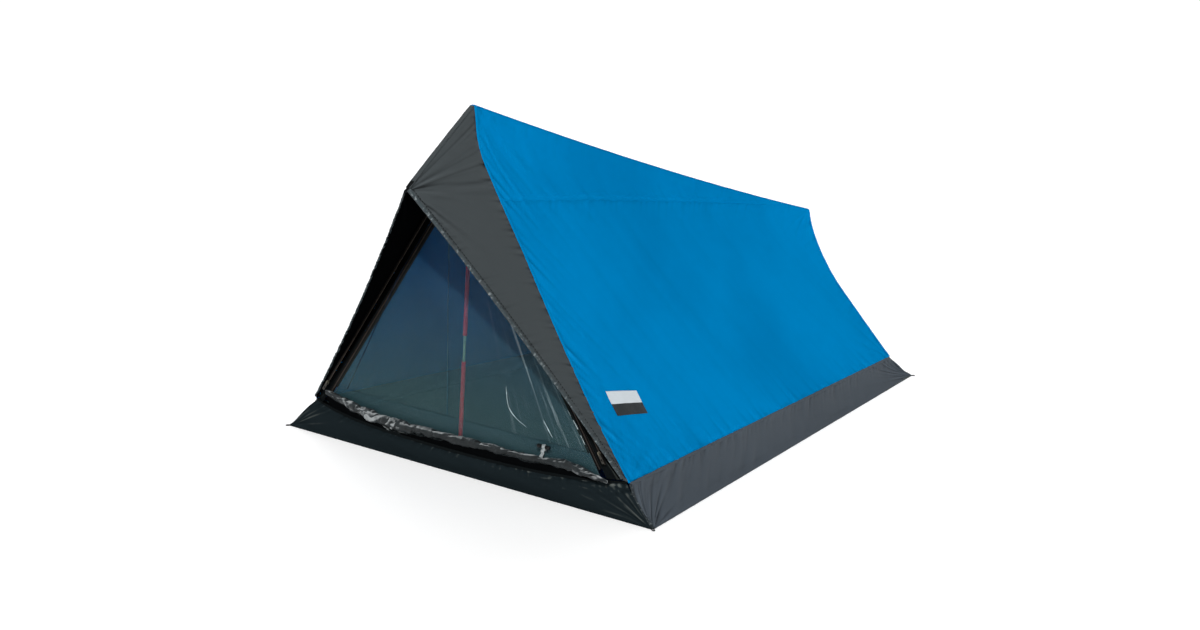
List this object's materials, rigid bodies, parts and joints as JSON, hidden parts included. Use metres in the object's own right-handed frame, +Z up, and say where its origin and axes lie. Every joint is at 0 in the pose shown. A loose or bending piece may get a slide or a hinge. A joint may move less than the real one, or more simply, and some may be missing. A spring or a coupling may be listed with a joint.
{
  "type": "ridge tent",
  "caption": "Low single-wall ridge tent with a pointed front hood, closed mesh door, storm door bunched on the sill, upright poles, zips and a rear vent.",
  "frame": {"origin": "middle of the floor, on the ground", "axes": "+X to the right of somebody looking along +Y, the door faces -Y, the ridge runs along Y, +Z up"},
  "size_m": [1.2212, 2.168, 0.9474],
  "materials": {
    "roof_cloth": "coated polyester taffeta, bright blue, low sheen",
    "hood_cloth": "coated polyester taffeta, slate grey, low sheen",
    "band_cloth": "coated polyester taffeta, blue-grey, low sheen",
    "sill_cloth": "coated polyester taffeta, charcoal, low sheen",
    "dark_cloth": "coated polyester taffeta, black, slightly shiny on its folds",
    "groundsheet_cloth": "woven coated polyethylene, grey, satin",
    "mesh_net": "fine insect netting, dark, see-through",
    "webbing": "ribbed polyester webbing, black, matt",
    "pale_webbing": "ribbed polyester webbing, off-white, matt",
    "zip_tape": "moulded coil zip on brown-black tape",
    "slider_metal": "plated die-cast zip slider, satin",
    "pole_red": "glass-fibre tube, red, glossy",
    "pole_rod": "glass-fibre rod, pale green, semi-gloss",
    "black_plastic": "moulded polypropylene, black, matt",
    "label_cloth": "printed satin patch, pale grey, no lettering"
  },
  "bodies": {
    "tent": {"roof_right": "roof_cloth", "roof_left": "roof_cloth", "ridge_tape": "roof_cloth", "hood_right": "hood_cloth", "hood_left": "hood_cloth", "hood_hem_right": "hood_cloth", "hood_hem_left": "hood_cloth", "hood_ridge_tape": "hood_cloth", "ground_band_right": "band_cloth", "ground_band_left": "band_cloth", "rear_band": "band_cloth", "rear_wall": "hood_cloth", "vent_mesh": "mesh_net", "door_jamb_right": "dark_cloth", "door_jamb_left": "dark_cloth", "front_sill": "sill_cloth", "mesh_strip": "mesh_net", "mesh_zip_right": "zip_tape", "mesh_zip_left": "zip_tape", "storm_zip_right": "zip_tape", "storm_zip_left": "zip_tape", "storm_door_bunch": "dark_cloth", "storm_toggle": "black_plastic", "toggle_strap": "pale_webbing", "groundsheet": "groundsheet_cloth", "hood_guy_loop": "webbing", "rear_guy_loop": "webbing", "label_patch": "label_cloth", "front_pole_foot": "black_plastic", "front_pole_lower_tube": "pole_red", "front_pole_upper_tube": "pole_red", "front_pole_rod": "pole_rod", "front_pole_plug": "black_plastic", "front_pole_pocket": "webbing", "front_foot_patch": "webbing", "peg_loop_front_right": "webbing", "peg_loop_front_left": "webbing", "rear_pole_foot": "black_plastic", "rear_pole_lower_tube": "pole_red", "rear_pole_upper_tube": "pole_red", "rear_pole_rod": "pole_rod", "rear_pole_plug": "black_plastic", "rear_pole_pocket": "webbing", "rear_foot_patch": "webbing", "peg_loop_rear_right": "webbing", "peg_loop_rear_left": "webbing"},
    "vent_flap": {"vent_flap": "band_cloth"},
    "mesh_door": {"mesh_door": "mesh_net"},
    "mesh_zip_right_slider": {"mesh_zip_right_slider": "slider_metal"},
    "mesh_zip_right_pull_tab": {"mesh_zip_right_pull_tab": "slider_metal"},
    "mesh_zip_left_slider": {"mesh_zip_left_slider": "slider_metal"},
    "mesh_zip_left_pull_tab": {"mesh_zip_left_pull_tab": "slider_metal"},
    "storm_zip_right_slider": {"storm_zip_right_slider": "slider_metal"},
    "storm_zip_right_pull_tab": {"storm_zip_right_pull_tab": "slider_metal"},
    "storm_zip_left_slider": {"storm_zip_left_slider": "slider_metal"},
    "storm_zip_left_pull_tab": {"storm_zip_left_pull_tab": "slider_metal"}
  },
  "joints": [
    {"name": "mesh_door_hinge", "type": "hinge", "parent": "tent", "child": "mesh_door", "pos_m": [0, -0.96, 0.15], "axis": [1, 0, 0], "range_deg": [0, 75]},
    {"name": "vent_flap_hinge", "type": "hinge", "parent": "tent", "child": "vent_flap", "pos_m": [0, 0.94125, 0.40372], "axis": [1, 0, 0], "range_deg": [0, 40]},
    {"name": "storm_zip_right_slide", "type": "slide", "parent": "tent", "child": "storm_zip_right_slider", "axis": [-0.5523, -0.0237, 0.8333], "range_m": [0, 0.69]},
    {"name": "storm_zip_right_tab_hinge", "type": "hinge", "parent": "storm_zip_right_slider", "child": "storm_zip_right_pull_tab", "pos_m": [0.44165, -0.9669, 0.15696], "axis": [-0.8337, 0.0157, -0.552], "range_deg": [0, 150]},
    {"name": "storm_zip_left_slide", "type": "slide", "parent": "tent", "child": "storm_zip_left_slider", "axis": [0.5523, -0.0237, 0.8333], "range_m": [0, 0.69]},
    {"name": "storm_zip_left_tab_hinge", "type": "hinge", "parent": "storm_zip_left_slider", "child": "storm_zip_left_pull_tab", "pos_m": [-0.44165, -0.9669, 0.15696], "axis": [-0.8337, -0.0157, 0.552], "range_deg": [0, 150]},
    {"name": "mesh_zip_right_slide", "type": "slide", "parent": "tent", "child": "mesh_zip_right_slider", "axis": [0.5523, 0.0237, -0.8333], "range_m": [0, 0.7]},
    {"name": "mesh_zip_right_tab_hinge", "type": "hinge", "parent": "mesh_zip_right_slider", "child": "mesh_zip_right_pull_tab", "pos_m": [0.02485, -0.98143, 0.74612], "axis": [-0.8337, 0.0157, -0.552], "range_deg": [0, 150]},
    {"name": "mesh_zip_left_slide", "type": "slide", "parent": "tent", "child": "mesh_zip_left_slider", "axis": [-0.5523, 0.0237, -0.8333], "range_m": [0, 0.7]},
    {"name": "mesh_zip_left_tab_hinge", "type": "hinge", "parent": "mesh_zip_left_slider", "child": "mesh_zip_left_pull_tab", "pos_m": [-0.02485, -0.98143, 0.74612], "axis": [-0.8337, -0.0157, 0.552], "range_deg": [0, 150]}
  ]
}
